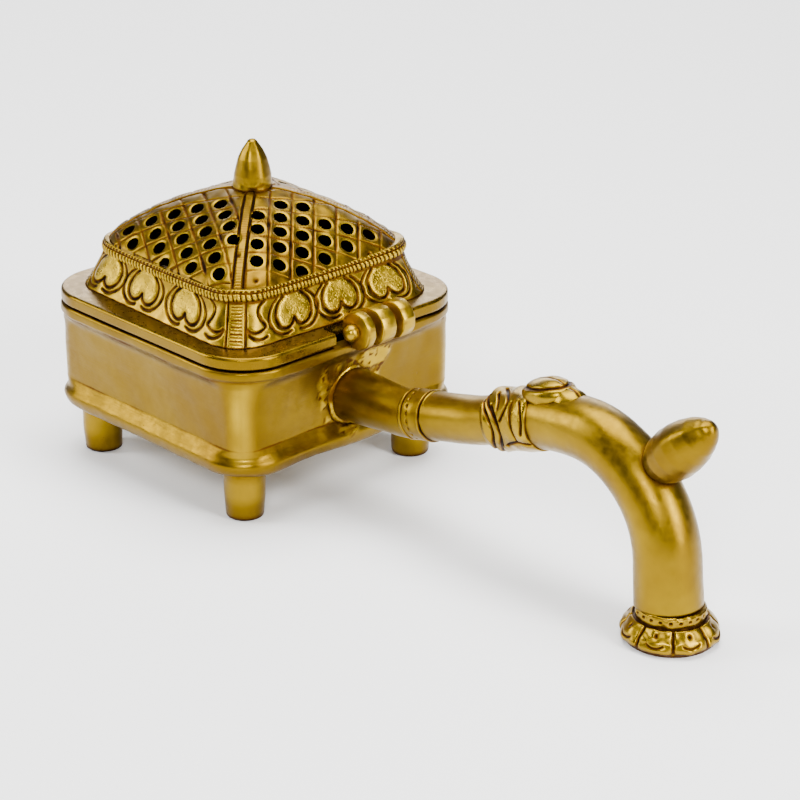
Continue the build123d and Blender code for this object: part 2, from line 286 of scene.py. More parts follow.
def side_point(half, corner, share):
    """Point and outward normal on the side that faces +X; share runs -1 to 1 from corner to corner."""
    radius = half * corner
    flat = half - radius
    along = share * (flat + radius * math.pi / 4)
    angle = np.clip(np.abs(along) - flat, 0, None) / radius
    out = np.where(np.abs(along) > flat, flat + radius * np.cos(angle), half)
    aside = np.where(np.abs(along) > flat, np.sign(along) * (flat + radius * np.sin(angle)), along)
    return out, aside


def cushion_grid(profile, corner, columns):
    """Grid round a rounded square, one row per (half width, z). Returns points, side, share along it."""
    share = np.tile(np.linspace(-1, 1, columns, endpoint=False), 4)
    side = np.repeat(np.arange(4), columns)
    half = profile[:, 0][:, None]
    corner = np.broadcast_to(np.asarray(corner, float).reshape(-1, 1), half.shape)
    out, aside = side_point(half, corner, share[None, :])
    turn = side * math.pi / 2
    x = out * np.cos(turn) - aside * np.sin(turn)
    y = out * np.sin(turn) + aside * np.cos(turn)
    z = np.broadcast_to(profile[:, 1][:, None], x.shape)
    return np.stack([x, y, z], -1), side, share


def turned(points, degrees_about_z):
    """Points turned about the middle of the box."""
    a = math.radians(degrees_about_z)
    spin = np.array([[math.cos(a), math.sin(a), 0], [-math.sin(a), math.cos(a), 0], [0, 0, 1]])
    return points @ spin


def revolved(profile, columns, centre):
    """Grid from (radius, z) rows about an upright axis."""
    angle = np.linspace(0, 2 * math.pi, columns, endpoint=False)
    ring = np.stack([np.cos(angle), np.sin(angle)], -1)
    xy = profile[:, 0][:, None, None] * ring[None]
    z = np.broadcast_to(profile[:, 1][:, None, None], xy.shape[:2] + (1,))
    return np.concatenate([xy, z], -1) + np.array([centre[0], centre[1], 0]), angle


def swept(path, radii, columns):
    """Grid round a path in the plane Y = 0. The angle is 0 on top and 90 degrees towards -Y."""
    path = np.asarray(path, float)
    along = np.gradient(path, axis=0)
    along /= np.linalg.norm(along, axis=1, keepdims=True)
    angle = np.linspace(0, 2 * math.pi, columns, endpoint=False)
    up = np.stack([-along[:, 1], np.zeros(len(path)), along[:, 0]], -1)
    near = np.array([0.0, -1.0, 0.0])
    centre = np.stack([path[:, 0], np.zeros(len(path)), path[:, 1]], -1)
    spokes = np.cos(angle)[None, :, None] * up[:, None] + np.sin(angle)[None, :, None] * near
    return centre[:, None] + np.asarray(radii, float)[:, None, None] * spokes, spokes, angle


# Materials


def brass(name, tint, shade, roughness, brushed=0.0, pits=0.5, stipple=0.0, dark_amount=0.8):
    """Cast brass: golden metal with olive patches, small pits, dark oxide and painted shade in the recesses,
    painted highlights, and painted orange bounce light.
    """
    material = bpy.data.materials.new(name)
    material.use_nodes = True
    tree = material.node_tree
    nodes = tree.nodes
    links = tree.links
    shader = nodes["Principled BSDF"]
    place = nodes.new("ShaderNodeTexCoord").outputs["Object"]

    def noise(scale, detail, stretch=(1, 1, 1), rough=0.55):
        mapping = nodes.new("ShaderNodeMapping")
        mapping.inputs["Scale"].default_value = stretch
        links.new(place, mapping.inputs["Vector"])
        texture = nodes.new("ShaderNodeTexNoise")
        texture.inputs["Scale"].default_value = scale
        texture.inputs["Detail"].default_value = detail
        texture.inputs["Roughness"].default_value = rough
        links.new(mapping.outputs["Vector"], texture.inputs["Vector"])
        return texture.outputs["Fac"]

    def ramp(value, low, high, out_low=0.0, out_high=1.0):
        step = nodes.new("ShaderNodeMapRange")
        step.interpolation_type = "SMOOTHSTEP"
        step.inputs["From Min"].default_value = low
        step.inputs["From Max"].default_value = high
        step.inputs["To Min"].default_value = out_low
        step.inputs["To Max"].default_value = out_high
        links.new(value, step.inputs["Value"])
        return step.outputs["Result"]

    def combine(operation, a, b):
        step = nodes.new("ShaderNodeMath")
        step.operation = operation
        for socket, value in zip(step.inputs, (a, b)):
            if isinstance(value, (int, float)):
                socket.default_value = value
            else:
                links.new(value, socket)
        return step.outputs["Value"]

    def mix(factor, a, b):
        step = nodes.new("ShaderNodeMix")
        step.data_type = "RGBA"
        links.new(factor, step.inputs["Factor"])
        for socket, value in ((step.inputs["A"], a), (step.inputs["B"], b)):
            if isinstance(value, tuple):
                socket.default_value = (*value, 1)
            else:
                links.new(value, socket)
        return step.outputs["Result"]

    def layer(attribute_name):
        attribute = nodes.new("ShaderNodeAttribute")
        attribute.attribute_name = attribute_name
        return attribute.outputs["Fac"]

    patches = noise(38, 3)
    grain = noise(420, 4)
    fine = noise(1700, 3)
    colour = mix(ramp(patches, 0.30, 0.74), tint, shade)
    speck = ramp(noise(950, 2), 0.70, 0.80)
    spread = ramp(noise(60, 2), 0.42, 0.62)
    speck = combine("MULTIPLY", combine("MULTIPLY", speck, spread), pits)
    colour = mix(combine("MULTIPLY", speck, 0.6), colour, (0.06, 0.026, 0.004))
    # bright colour from the wear layer: rubbing on raised work, and painted highlights on the box corners and
    # round the dome's vents
    worn_and_painted_highlight = layer("polish")
    colour = mix(combine("MULTIPLY", worn_and_painted_highlight, 0.75), colour, (0.46, 0.30, 0.010))
    # orange with less metal from the bounce layer: painted bounce light from the box wall over a brazing tint
    heat = layer("heat")
    colour = mix(heat, colour, (0.80, 0.29, 0.006))
    links.new(combine("SUBTRACT", 1.0, combine("MULTIPLY", heat, 0.55)), shader.inputs["Metallic"])
    # ambient occlusion darkens recesses and the joins between parts: dark oxide there, and painted shade where
    # light is blocked
    recess = nodes.new("ShaderNodeAmbientOcclusion")
    recess.samples = 8
    recess.inputs["Distance"].default_value = 0.004
    hollow = ramp(recess.outputs["AO"], 0.35, 0.85, 1.0, 0.0)
    hollow = combine("MULTIPLY", hollow, dark_amount)
    grime_and_painted_shade = combine("MAXIMUM", hollow, layer("patina"))
    uneven = combine("MULTIPLY", combine("SUBTRACT", grain, 0.5), combine("MULTIPLY", grime_and_painted_shade, 0.9))
    grime_and_painted_shade = combine("ADD", grime_and_painted_shade, uneven)
    brown = ramp(grime_and_painted_shade, 0.08, 0.45)
    black = ramp(grime_and_painted_shade, 0.45, 0.95)
    colour = mix(brown, colour, (0.085, 0.032, 0.003))
    colour = mix(black, colour, (0.008, 0.0028, 0.001))
    links.new(colour, shader.inputs["Base Color"])
    rough = ramp(grain, 0.25, 0.75, roughness - 0.06, roughness + 0.08)
    rough = combine("ADD", rough, combine("MULTIPLY", brown, 0.22))
    links.new(rough, shader.inputs["Roughness"])
    height = combine("MULTIPLY", grain, 0.2)
    height = combine("ADD", height, combine("MULTIPLY", fine, 0.07))
    height = combine("SUBTRACT", height, combine("MULTIPLY", speck, 0.8))
    if brushed:
        strokes = noise(260, 2, stretch=(1, 1, 9))
        height = combine("ADD", height, combine("MULTIPLY", strokes, brushed))
    if stipple:
        dents = ramp(noise(1150, 1), 0.52, 0.66)
        height = combine("SUBTRACT", height, combine("MULTIPLY", combine("MULTIPLY", dents, worn_and_painted_highlight), stipple))
    bump = nodes.new("ShaderNodeBump")
    bump.inputs["Strength"].default_value = 0.5
    bump.inputs["Distance"].default_value = 0.00022
    links.new(height, bump.inputs["Height"])
    links.new(bump.outputs["Normal"], shader.inputs["Normal"])
    return material


GOLD = (0.29, 0.175, 0.006)
OLIVE = (0.22, 0.138, 0.005)
BRONZE = (0.14, 0.070, 0.003)
CAST = (0.175, 0.104, 0.003)
DULL = (0.14, 0.077, 0.002)
materials = {
    "cast_brass": brass("satin_cast_brass", CAST, DULL, 0.36, brushed=0.40, pits=0.9),
    "lid_brass": brass("flange_brass", CAST, DULL, 0.30, brushed=0.05, pits=0.7),
    "carved_brass": brass("carved_brass", GOLD, OLIVE, 0.30, pits=0.5, stipple=0.9, dark_amount=0.65),
    "pierced_brass": brass("pierced_brass", CAST, BRONZE, 0.36, pits=0.5),
    "handle_brass": brass("handle_brass", (0.235, 0.145, 0.004), DULL, 0.35, brushed=0.10, pits=0.4),
    "hinge_brass": brass("hinge_brass", (0.36, 0.22, 0.008), GOLD, 0.34, brushed=0.05, pits=0.3, dark_amount=0.2),
    "braze_metal": brass("braze_metal", (0.48, 0.31, 0.014), GOLD, 0.28, pits=0.2),
}


# Box and feet


# each patch of brazing metal: y, z, half width and half height
braze_patches = ((9, 46, 6.5, 5), (-12, 40, 2.2, 8), (-2, 24.5, 4.5, 2.2), (0, 35, 10.8, 10.8))


def braze_cover(points):
    """Where brazing metal has run over the box wall beside the handle."""
    cover = np.zeros(points.shape[:-1])
    for y, z, wide, tall in braze_patches:
        reach = np.hypot((points[..., 1] - y) / wide, (points[..., 2] - z) / tall)
        cover = np.maximum(cover, smooth(1.15, 0.8, reach + 0.16 * lumps(points, 4, 6)))
    return cover * smooth(wall_half - 3, wall_half - 1, points[..., 0])


def build_box():
    """Footed tray with a rounded base moulding, flared wall and proud rim, open inside."""
    neck = rim_top - rim_height
    outer = softened([
        (4, base_bottom, 0), (base_half - 1.2, base_bottom, 2.6), (base_half + 0.1, base_bottom + 4.2, 2.2),
        (base_half - 2.0, base_bottom + 7.0, 3.0), (wall_half + 0.1, base_top + 0.6, 1.0),
        (wall_half + 0.4, 38, 8), (wall_half + 1.3, neck - 2.4, 4),
        (rim_half - 0.6, neck, 0.8), (rim_half, neck + 0.9, 0.9), (rim_half, rim_top, 0.9),
        (rim_half - 5.1, rim_top, 0.7), (wall_half - 3.2, base_bottom + 4, 2.5), (4, base_bottom + 4, 0),
    ], 1.0)
    height = outer[:, 1]
    corner = np.interp(height, [base_bottom + 6.0, base_top + 0.6, 38, neck - 2.4, neck],
                       [base_corner, wall_foot_corner, wall_foot_corner, wall_neck_corner, box_corner])
    within = np.arange(len(outer)) > np.argmax(height) + 4
    corner = np.where(within, lid_corner, corner)
    points, side, share = cushion_grid(outer, corner, 88)
    normals = grid_normals(points)
    relief = 0.13 * lumps(points, 22, 3) + 0.05 * lumps(points, 6, 4)
    near_root = braze_cover(points)
    relief += near_root * (0.3 + 0.16 * lumps(points, 3.2, 5) + 0.14 * lumps(points, 1.4, 7))
    brown_edge = 1.6 * near_root * (1 - near_root)
    brown_edge += 0.55 * near_root * smooth(0.7, 1.5, lumps(points, 1.8, 11))
    points = points + normals * relief[..., None]
    depth = points[..., 2]
    seam = bell(depth, base_top + 0.5, 0.35) * (0.26 + 0.16 * lumps(points, 12, 8))
    # painted shadow in a band just under the rim's overhang
    under_rim = bell(depth, neck - 0.3, 0.5) * (0.30 + 0.2 * lumps(points, 7, 9))
    soot = smooth(base_bottom + 2.8, base_bottom + 3.8, depth) * within[:, None]
    grime_and_painted_shade = np.maximum(np.maximum(seam, under_rim), np.maximum(0.95 * soot, brown_edge))
    # painted highlight down the wall's upright corners, and over the crest of the moulding at each corner
    off_corner = (1 - np.abs(share))[None, :] * wall_half
    upright = smooth(base_top - 6, base_top, depth) * smooth(neck + 1, neck - 4, depth) * ~within[:, None]
    painted_corner_highlight = bell(off_corner, 0.8, 2.6) * upright * (0.75 + 0.15 * lumps(points, 8, 10))
    layers = {"patina": grime_and_painted_shade, "polish": np.maximum(near_root, painted_corner_highlight)}
    # room for the lid's eye, between the lugs
    off_x = points[..., 0] - hinge_x
    off_z = points[..., 2] - hinge_z
    reach = np.hypot(off_x, off_z)
    between = np.abs(points[..., 1] - hinge_middle) < knuckle_room_half
    cut = between & (reach < knuckle_room_radius) & (points[..., 0] > 0)
    scale = np.where(cut, knuckle_room_radius / np.maximum(reach, 0.1), 1.0)
    points[..., 0] = hinge_x + off_x * scale
    points[..., 2] = hinge_z + off_z * scale
    low, high = extent("box_body")
    points = np.clip(points, low, high)
    closed_grid("box_shell", points, "burner", "cast_brass", ["box_body"], layers,
                caps=(True, True))


def build_feet():
    """Four short legs, a little uneven, each with solder run round its top."""
    for number, name in enumerate(("foot_front_left", "foot_front_right", "foot_back_left", "foot_back_right")):
        low, high = extent(name)
        centre = (low + high) / 2
        radius = (high[0] - low[0]) / 2
        profile = softened([
            (0.4, 0, 0), (radius - 0.6, 0, 1.5), (radius - 0.25, base_bottom * 0.5, 8),
            (radius - 0.15, base_bottom - 1.6, 1), (radius, base_bottom + 0.8, 1),
            (radius * 0.7, base_bottom + 1.6, 0),
        ], 0.5)
        points, angle = revolved(profile, 96, centre[:2])
        normals = grid_normals(points)
        height = points[..., 2]
        rough = smooth(base_bottom - 3.5, base_bottom - 0.5, height)
        relief = -0.16 + 0.12 * lumps(points, 7, 20 + number) + rough * 0.15 * lumps(points, 2.2, 30 + number)
        relief *= smooth(0, 1.0, height)
        points = points + normals * relief[..., None]
        patina = bell(height, base_bottom - 0.5, 0.4) * (0.6 + 0.3 * lumps(points, 3, 40 + number))
        patina += 0.15 * smooth(3, 0, height)
        layers = {"patina": patina, "polish": 0.4 * smooth(4, 9, height) * smooth(16, 12, height)}
        closed_grid(name.replace("foot", "leg"), points, "burner", "cast_brass", [name],
                    layers, caps=(True, True))


# Lid

heart_half = 0.19
# Right half of a heart from its cleft, and of the border outside it: shares of the heart's half width,
# and shares of the way down from the rope. The left half mirrors it.
heart_lobe = ((0, 0.62), (0.11, 0.715), (0.38, 0.79), (0.71, 0.76), (0.945, 0.63), (1, 0.46), (0.88, 0.28),
              (0.525, 0.125))
heart_border = ((0.85, 0.13), (1.22, 0.275), (1.4, 0.445), (1.37, 0.6), (1.16, 0.76), (0.82, 0.87),
                (0.48, 0.895), (0.24, 0.87))
scroll = ((-0.06, 0.10), (0, 0.2), (0.012, 0.33), (-0.01, 0.46), (-0.06, 0.62), (-0.03, 0.69), (0.03, 0.72),
          (0.08, 0.69), (0.11, 0.63))
scroll_tail = ((0.115, 0.66), (0.085, 0.77), (0.03, 0.85), (-0.03, 0.865), (-0.07, 0.84))
scroll_offset = 0.365
heart_centres = ((-0.43, 0.08, 0.60), (-0.71, -0.18, 0.41))
skirt_side_length = 36.5    # from the middle of a side to its corner, round the bend
skirt_slope_length = 15.4
band_edge = 0.922           # where the corner bands start, as a share of a side


def mirrored(points):
    return [(-x, y) for x, y in points]


def skirt_lines(kind):
    """Engraved lines of one side, in millimetres along it and down from the rope; hearts come apart."""
    def placed(points, centre, width):
        line = [((centre + width * x) * skirt_side_length, y * skirt_slope_length) for x, y in points]
        return curve_through(line, 8)

    outline = mirrored(heart_lobe[:0:-1]) + list(heart_lobe)
    hearts = []
    lines = []
    for centre in heart_centres[kind]:
        hearts.append(placed(outline, centre, heart_half))
        lines.append(placed(heart_border, centre, heart_half))
        lines.append(placed(mirrored(heart_border), centre, heart_half))
    for direction, centre in ((-1, heart_centres[kind][0]), (1, heart_centres[kind][-1])):
        start = centre + direction * scroll_offset
        lines.append(placed(scroll, start, direction))
        lines.append(placed(scroll_tail, start, direction))
    return hearts, lines


def skirt_half(rise):
    return skirt_top_half + (skirt_foot_half - skirt_top_half) * (1 - rise) ** skirt_hollow


def build_skirt():
    """Sloping band with hearts and scrolls in relief, and a rope band up each corner."""
    rise = np.linspace(0, 1, 52)
    outer = np.stack([skirt_half(rise), flange_top + (skirt_top - flange_top) * rise], -1)
    inner = outer[::-6] - np.array([lid_wall, 0])
    profile = np.vstack([inner, outer])
    points, side, share = cushion_grid(profile, lid_corner, 256)
    normals = grid_normals(points)
    down = (1 - np.concatenate([np.ones(len(inner)), rise]))[:, None] + np.zeros(len(share))
    down[: len(inner)] = -1
    relief = np.zeros(down.shape)
    patina = np.zeros(down.shape)
    polish = np.zeros(down.shape)
    for number in range(4):
        columns = np.where(side == number)[0]
        rows = np.arange(len(inner), len(profile))
        block = np.ix_(rows, columns)
        places = np.stack([np.broadcast_to(share[columns] * skirt_side_length, (len(rows), len(columns))),
                           down[block] * skirt_slope_length], -1)
        hearts, lines = skirt_lines(number % 2)
        groove = np.zeros(places.shape[:2])
        plump = np.zeros(places.shape[:2])
        for heart in hearts:
            distance = line_distance(places, heart)
            within = inside(places, heart)
            groove = np.maximum(groove, smooth(0.75, 0.15, distance))
            plump = np.maximum(plump, within * smooth(0.1, 1.8, distance))
        for line in lines:
            cut = 0.92 * smooth(0.68, 0.12, line_distance(places, line))
            groove = np.maximum(groove, cut * (plump < 0.05))
        fade = smooth(band_edge, band_edge - 0.03, np.abs(share[columns]))
        relief[block] = (0.30 * plump - 0.55 * groove) * fade
        patina[block] = groove * fade
        polish[block] = smooth(0.1, 0.6, plump) * fade
    # corner bands: two grooves with rungs between them
    off_corner = (1 - np.abs(share)) * skirt_side_length
    edge_groove = smooth(0.55, 0.1, np.abs(off_corner - 2.85))[None, :] * (down >= 0)
    rung = 0.5 + 0.5 * np.cos(2 * math.pi * down * skirt_slope_length / 1.05)
    in_band = (off_corner < 1.9)[None, :] & (down >= 0)
    relief += -0.5 * edge_groove + in_band * (0.32 * rung - 0.2)
    patina = np.maximum(patina, edge_groove)
    patina = np.maximum(patina, in_band * 0.75 * smooth(0.45, 0.1, rung))
    polish = np.maximum(polish, in_band * smooth(0.5, 0.9, rung))
    foot_line = bell(down, 0.985, 0.018)
    patina = np.maximum(patina, foot_line * 0.95)
    patina = np.maximum(patina, smooth(0.16, 0.10, down) * (down >= 0) * 0.55)
    relief += 0.05 * lumps(points, 5, 41) * (down >= 0)
    points = turned(points + normals * relief[..., None], crown_turn)
    layers = {"patina": patina * (0.85 + 0.15 * lumps(points, 3, 42)), "polish": polish}
    closed_grid("skirt_band", points, "lid", "carved_brass", ["lid_skirt"], layers)


def build_rope():
    """Roped moulding round the foot of the dome, with a row of punched dots above it."""
    section = softened([
        (34.8, skirt_top - 1.0, 0), (37.8, skirt_top - 1.3, 0.4), (38.7, skirt_top - 1.2, 0.6),
        (39.0, skirt_top - 0.1, 1.2), (38.8, skirt_top + 1.2, 0.6), (38.35, skirt_top + 1.5, 0.2),
        (38.6, skirt_top + 1.9, 0.3), (38.4, skirt_top + 2.5, 0.5), (37.6, skirt_top + 2.7, 0.4),
        (34.8, skirt_top + 1.8, 0),
    ], 0.28)
    points, side, share = cushion_grid(section, lid_corner, 300)
    bow = 1.1 * np.abs(share) ** 2.5 - 0.55
    tilt = 0.5 * (points[..., 0] + points[..., 1]) / 39
    normals = grid_normals(points)
    along = share * skirt_side_length
    offset = section[:, 1][:, None] - skirt_top
    wander = lumps(np.stack([along, side * 50.0, along * 0], -1), 9, 51)
    phase = along / 1.62 + 0.22 * wander + 0.12 * offset
    bar = np.abs(np.cos(math.pi * phase)) ** 0.7
    outside = (section[:, 0] > 38.2)[:, None]
    on_rope = smooth(-1.3, -0.8, offset) * smooth(1.5, 1.0, offset) * outside
    dot_row = bell(offset, 2.0, 0.38) * outside
    dot = smooth(0.45, 0.8, np.abs(np.sin(math.pi * (along / 1.62 + 0.3 * wander))))
    relief = on_rope * (0.5 * bar - 0.3) - 0.35 * dot_row * dot
    patina = on_rope * smooth(0.66, 0.3, bar)
    patina = np.maximum(patina, dot_row * dot * 0.95)
    patina = np.maximum(patina, 0.8 * bell(offset, 1.45, 0.2) * outside)
    patina = np.maximum(patina, 0.9 * smooth(-0.9, -1.2, offset))
    points = points + normals * relief[..., None]
    points[..., 2] += bow + tilt
    points = turned(points, crown_turn)
    layers = {"patina": patina, "polish": on_rope * smooth(0.6, 0.95, bar)}
    closed_grid("rope_band", points, "lid", "carved_brass", ["rope_moulding"], layers)


def dome_level(angle):
    """Half width and height of the dome's outside at an angle (degrees) up its profile."""
    a = np.radians(angle)
    half = dome_half * np.cos(a) ** dome_spread
    return np.stack([half, rope_top + dome_rise * np.sin(a) ** dome_swell], -1)


def lattice_cells(kind, x, y):
    """Cell numbers (as fractions) of a plan position, on the side that faces +X."""
    (x0, y0), (ax, ay), (bx, by), _ = vent_patterns[kind]
    size = ax * by - ay * bx
    m = ((x - x0) * by - (y - y0) * bx) / size
    n = ((y - y0) * ax - (x - x0) * ay) / size
    return m, n, abs(size) / math.hypot(bx, by), abs(size) / math.hypot(ax, ay)


def cell_place(kind, m, n):
    """Plan position of one cell of the lattice."""
    (x0, y0), (ax, ay), (bx, by), _ = vent_patterns[kind]
    return x0 + m * ax + n * bx, y0 + m * ay + n * by


def vent_places(kind):
    columns = vent_patterns[kind][3]
    return [cell_place(kind, m, n) for m, (first, last) in enumerate(columns) for n in range(first, last + 1)]


def dome_skin(name, depth, columns, rows, detailed):
    """One skin of the dome with its vents cut out; depth is how far in from the outside it lies."""
    top_angle = math.degrees(math.acos((crown_half / dome_half) ** (1 / dome_spread)))
    angle = np.linspace(0, top_angle, rows)
    profile = dome_level(angle)
    lead_in = np.array([[dome_half, rope_top - 1.0]])
    cap = np.array([[crown_half * 0.5, profile[-1][1] + 0.15]])
    profile = np.vstack([lead_in, profile, cap])
    points, side, share = cushion_grid(profile, dome_corner, columns)
    normals = grid_normals(points)
    shape = points.shape[:2]
    turn = -side * math.pi / 2
    local_x = points[..., 0] * np.cos(turn) - points[..., 1] * np.sin(turn)
    local_y = points[..., 0] * np.sin(turn) + points[..., 1] * np.cos(turn)
    tilt = np.clip(np.hypot(normals[..., 0], normals[..., 1]), 0, 0.98)
    squash = np.sqrt(1 - tilt**2)
    relief = np.zeros(shape)
    patina = np.zeros(shape)
    polish = np.zeros(shape)
    dome_side = 0.93 * points[:, :, 0].max(1)[:, None]
    off_corner = (1 - np.abs(share))[None, :] * dome_side
    hole = np.full(shape, 1e3)
    hole_x = np.zeros(shape)
    hole_y = np.zeros(shape)
    for number in range(4):
        picked = side == number
        kind = number % 2
        m, n, m_pitch, n_pitch = lattice_cells(kind, local_x, local_y)
        for x, y in vent_places(kind):
            radial = (local_x - x) / np.maximum(squash, 0.2)
            aside = local_y - y
            distance = np.hypot(radial, aside)
            nearer = picked[None, :] & (distance < hole)
            hole = np.where(nearer, distance, hole)
            hole_x = np.where(nearer, x, hole_x)
            hole_y = np.where(nearer, y, hole_y)
        if not detailed:
            continue
        m_off = np.abs(m - np.floor(m) - 0.5) * m_pitch
        n_off = np.abs(n - np.floor(n) - 0.5) * n_pitch
        wobble = 0.18 * lumps(points, 7, 61)
        column_line = smooth(0.55, 0.12, m_off + wobble * 0.5)
        row_line = 0.72 * smooth(0.42, 0.08, n_off - wobble * 0.4)
        panel = smooth(2.0, 2.5, off_corner)
        lines = np.maximum(column_line, row_line) * panel
        lines = lines * (0.82 + 0.25 * lumps(points, 5, 62))
        relief = np.where(picked[None, :], -0.42 * lines, relief)
        patina = np.where(picked[None, :], 0.85 * lines, patina)
        for cell in vent_dimples[kind]:
            x, y = cell_place(kind, *cell)
            near = np.exp(-(((local_x - x) / np.maximum(squash, 0.2)) ** 2 + (local_y - y) ** 2) / 0.5)
            relief = np.where(picked[None, :], relief - 0.5 * near, relief)
            patina = np.where(picked[None, :], np.maximum(patina, 0.9 * near), patina)
    if detailed:
        ridge_groove = smooth(0.62, 0.15, np.abs(off_corner - 1.7))
        rise = np.concatenate([[0], np.cumsum(np.linalg.norm(np.diff(profile, axis=0), axis=1))])[:, None]
        tick = 0.5 + 0.5 * np.cos(2 * math.pi * rise / 0.95)
        on_ridge = smooth(1.35, 1.1, off_corner)
        relief += -0.62 * ridge_groove + on_ridge * (0.12 * tick + 0.1)
        patina = np.maximum(patina, ridge_groove)
        patina = np.maximum(patina, on_ridge * 0.32 * smooth(0.4, 0.05, tick))
        # each vent's chamfered rim: sunk a little, cleared of most lattice colour, and given a painted
        # highlight
        chamfer = smooth(vent_radius + 0.75, vent_radius + 0.1, hole)
        relief -= 0.22 * chamfer
        patina *= 1 - 0.9 * chamfer
        polish = np.maximum(polish, 0.55 * chamfer)
        relief += 0.07 * lumps(points, 4.5, 63)
        points = points + normals * relief[..., None]
    # drop the faces inside each vent, and move the points left on its edge onto its circle
    faces = np.array(grid_faces(shape[0], shape[1], True))
    gone = hole.reshape(-1)[faces].mean(1) < vent_radius
    edge = np.intersect1d(np.unique(faces[gone]), np.unique(faces[~gone]))
    faces = faces[~gone]
    on_edge = np.zeros(hole.size, bool)
    on_edge[edge] = True
    on_edge = on_edge.reshape(shape)
    scale = np.where(on_edge, vent_radius / np.maximum(hole, 0.3), 1.0)
    shift_x = (local_x - hole_x) * (scale - 1)
    shift_y = (local_y - hole_y) * (scale - 1)
    points[..., 0] += shift_x * np.cos(turn) + shift_y * np.sin(turn)
    points[..., 1] += -shift_x * np.sin(turn) + shift_y * np.cos(turn)
    points[..., 2] -= shift_x * tilt / np.maximum(squash, 0.2)
    points = points - normals * depth
    flat = points.reshape(-1, 3)
    if detailed:
        # walls of the vents: every open edge inside the skin goes inwards, and the walls are painted full black
        # as shade
        pairs = np.concatenate([faces[:, [0, 1]], faces[:, [1, 2]], faces[:, [2, 3]], faces[:, [3, 0]]])
        key = np.sort(pairs, 1)
        code = key[:, 0].astype(np.int64) * len(flat) + key[:, 1]
        _, first, counts = np.unique(code, return_index=True, return_counts=True)
        rim = pairs[first[counts == 1]]
        rim = rim[(hole.reshape(-1)[rim] < vent_radius + 2).all(1)]
        used = np.unique(rim)
        top = {int(v): len(flat) + i for i, v in enumerate(used)}
        deep = len(used)
        walls = flat[used] - normals.reshape(-1, 3)[used] * (lid_wall + 0.05)
        flat = np.vstack([flat, flat[used], walls])
        extra = [[top[int(b)], top[int(a)], top[int(a)] + deep, top[int(b)] + deep] for a, b in rim]
        faces = faces.tolist() + extra
        patina = np.concatenate([patina.reshape(-1), np.full(2 * deep, 1.0)])
        polish = np.concatenate([polish.reshape(-1), np.zeros(2 * deep)])
    else:
        faces = faces[:, ::-1].tolist()
        # the inner skin is painted full black as shade
        patina = np.full(len(flat), 1.0)
        polish = np.zeros(len(flat))
    keep = np.unique(np.concatenate([np.ravel(f) for f in faces]))
    number = np.full(len(flat), -1)
    number[keep] = np.arange(len(keep))
    faces = [[int(number[v]) for v in f] for f in faces]
    flat = turned(flat[keep], crown_turn)
    return make_object(name, flat, faces, "lid", "pierced_brass", ["dome_screen"],
                       {"patina": patina[keep], "polish": polish[keep]})


def build_finial():
    """Hand-filed bullet knob, with a lumpy run of solder round its foot."""
    low, high = extent("finial")
    seat = dome_level(np.array([79.0]))[0][1] - 0.6
    height = high[2] - seat
    radius = (high[0] - low[0]) / 2
    share = np.linspace(0, 1, 70)
    shape = np.interp(share, [0, 0.12, 0.29, 0.45, 0.62, 0.79, 0.87, 0.93, 0.96, 0.985, 1.0],
                      [1.0, 1.0, 0.96, 0.87, 0.75, 0.55, 0.42, 0.32, 0.26, 0.16, 0.03])
    profile = np.stack([radius * shape, seat + height * share], -1)
    points, angle = revolved(profile, 96, (0, 0))
    normals = grid_normals(points)
    fade = smooth(0.05, 0.3, share) * smooth(1, 0.8, share)
    facets = 0.07 * np.cos(7 * angle + 0.6)[None, :] * fade[:, None]
    foot = smooth(0.22, 0.05, share)[:, None]
    relief = -0.2 + facets + foot * 0.22 * lumps(points, 3.2, 71) + 0.06 * lumps(points, 6, 72)
    relief *= smooth(1, 0.93, share)[:, None] * 0.9 + 0.1
    points = points + normals * relief[..., None]
    patina = foot * 0.3 * smooth(-0.2, -1.0, lumps(points, 3.2, 71))
    patina += 0.6 * smooth(0.07, 0.02, share)[:, None]
    layers = {"patina": patina, "polish": 0.3 * foot}
    closed_grid("finial_knob", turned(points, crown_turn), "lid", "handle_brass",
                ["finial"], layers, caps=(False, True))


# Handle


def straight(start, end, run):
    """Points on the line from start through end, at those distances along it."""
    start = np.array(start)
    return start + (np.array(end) - start) / math.dist(start, end) * run[:, None]


def crest_arc(radius, first, last, steps):
    """Arc that is level at the elbow's crest, between two angles from there."""
    a = np.radians(np.linspace(first, last, steps))
    return np.stack([elbow_crest[0] + radius * np.sin(a), elbow_crest[1] - radius * (1 - np.cos(a))], -1)


def elbow_path():
    """The elbow's axis: a slow rise out of the knot, the bend, then the fall to the lotus."""
    rise_radius = (elbow_crest[0] - elbow_start[0]) / math.sin(math.radians(elbow_rise_angle))
    rise = crest_arc(rise_radius, -elbow_rise_angle, 0, 41)[:-1]
    bend = crest_arc(elbow_bend_radius, 0, elbow_fall_angle, 90)
    z = np.linspace(bend[-1, 1], lotus_height - 0.5, 20)[1:]
    x = bend[-1, 0] + (bend[-1, 1] - z) / math.tan(math.radians(elbow_fall_angle))
    return np.vstack([rise, bend, np.stack([x, z], -1)])


def build_elbow():
    """Cast bend from the knot over and down to the lotus."""
    path = elbow_path()
    run = np.concatenate([[0], np.cumsum(np.linalg.norm(np.diff(path, axis=0), axis=1))])
    share = run / run[-1]
    radii = elbow_thin + (elbow_thick - elbow_thin) * share
    points, spokes, angle = swept(path, radii, 120)
    relief = 0.12 * lumps(points, 18, 81) + 0.015 * lumps(points, 5, 82)
    points = points + spokes * relief[..., None]
    patina = 0.45 * smooth(1.5, 0.2, run)[:, None] + 0 * angle
    closed_grid("elbow_casting", points, "burner", "handle_brass", ["handle_elbow"],
                {"patina": patina}, caps=(True, True))


